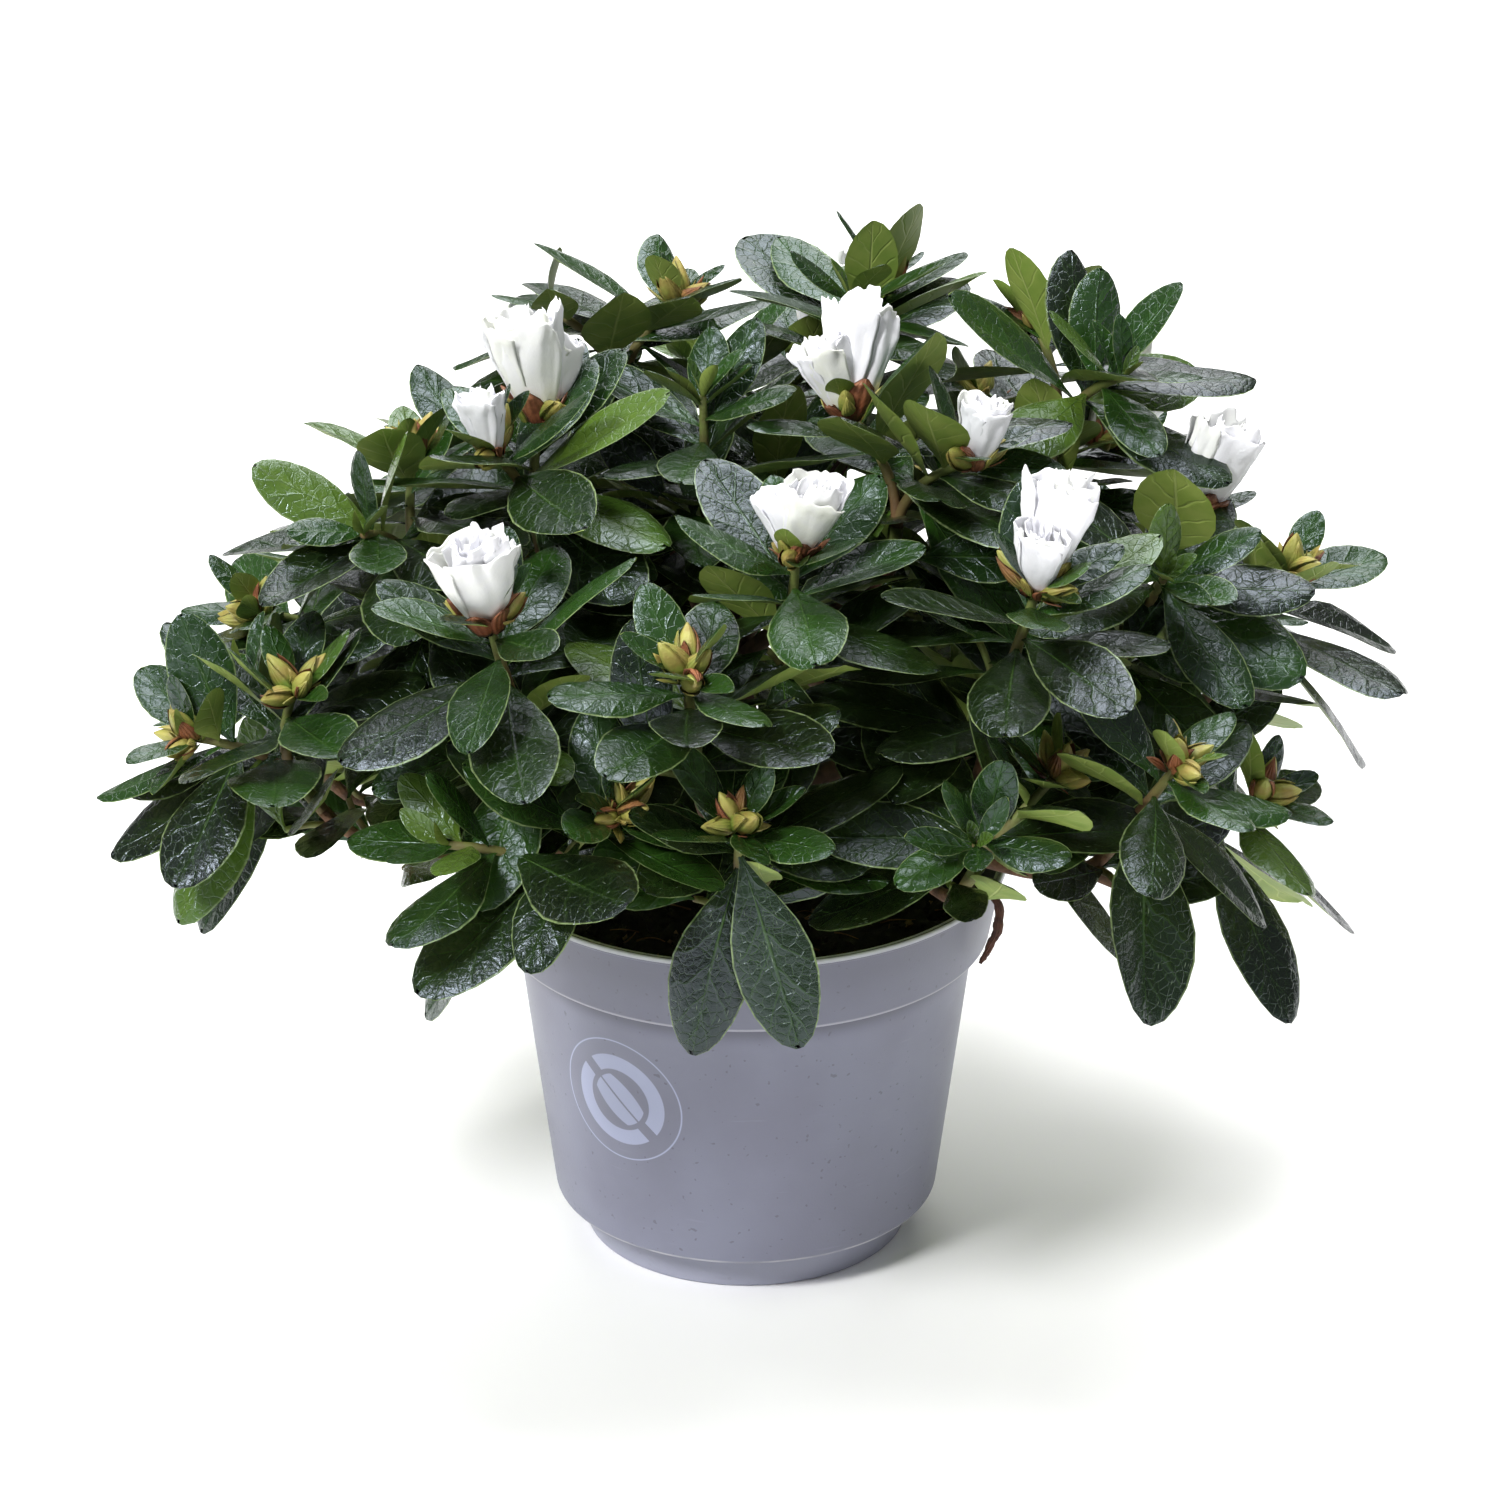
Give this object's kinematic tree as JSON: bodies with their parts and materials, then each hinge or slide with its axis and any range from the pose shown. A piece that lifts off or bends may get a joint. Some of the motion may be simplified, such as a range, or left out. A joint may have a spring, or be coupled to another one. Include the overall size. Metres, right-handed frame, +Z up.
{
  "type": "potted azalea shrub",
  "caption": "Low round-crowned evergreen shrub with whorled leaves, buds and half-open white blossom, growing in a filled round plastic nursery pot.",
  "frame": {"origin": "centre of the pot's flat underside", "axes": "+Z up along the pot's axis; the plant's front faces -Y and +X is to its right as seen from the front"},
  "size_m": [0.311, 0.2769, 0.2489],
  "materials": {
    "pot": "satin moulded plastic, plain bluish grey, with a flared band and rolled lip",
    "compost": "moist dark peat compost with fibres and small pale grains",
    "bark": "thin reddish-brown bark",
    "foliage": "dark green leaves with a soft grey gloss, olive undersides, white blossom and brown bud scales"
  },
  "bodies": {
    "root": {"pot": "pot", "compost": "compost", "stem": "bark", "bough_back_left_shoulder": "bark", "bough_back_left_skirt": "bark", "bough_back_right_shoulder": "bark", "bough_back_right_skirt": "bark", "bough_back_shoulder": "bark", "bough_back_skirt": "bark", "bough_crown_back": "bark", "bough_crown_back_left": "bark", "bough_crown_front": "bark", "bough_crown_left": "bark", "bough_crown_middle": "bark", "bough_crown_right": "bark", "bough_far_left": "bark", "bough_far_right": "bark", "bough_far_right_low": "bark", "bough_front_blossom": "bark", "bough_front_shoulder": "bark", "bough_front_skirt": "bark", "bough_left_back_skirt": "bark", "bough_left_front_blossom": "bark", "bough_left_front_skirt": "bark", "bough_left_shoulder": "bark", "bough_left_skirt": "bark", "bough_right_back_skirt": "bark", "bough_right_blossom": "bark", "bough_right_front_blossom": "bark", "bough_right_front_low": "bark", "bough_right_front_skirt": "bark", "foliage_back_left_shoulder": "foliage", "foliage_back_left_skirt": "foliage", "foliage_back_right_shoulder": "foliage", "foliage_back_right_skirt": "foliage", "foliage_back_shoulder": "foliage", "foliage_back_skirt": "foliage", "foliage_crown_back": "foliage", "foliage_crown_back_left": "foliage", "foliage_crown_front": "foliage", "foliage_crown_left": "foliage", "foliage_crown_middle": "foliage", "foliage_crown_right": "foliage", "foliage_far_left": "foliage", "foliage_far_right": "foliage", "foliage_far_right_low": "foliage", "foliage_front_blossom": "foliage", "foliage_front_shoulder": "foliage", "foliage_front_skirt": "foliage", "foliage_left_back_skirt": "foliage", "foliage_left_front_blossom": "foliage", "foliage_left_front_skirt": "foliage", "foliage_left_shoulder": "foliage", "foliage_left_skirt": "foliage", "foliage_right_back_skirt": "foliage", "foliage_right_blossom": "foliage", "foliage_right_front_blossom": "foliage", "foliage_right_front_low": "foliage", "foliage_right_front_skirt": "foliage"}
  },
  "joints": []
}
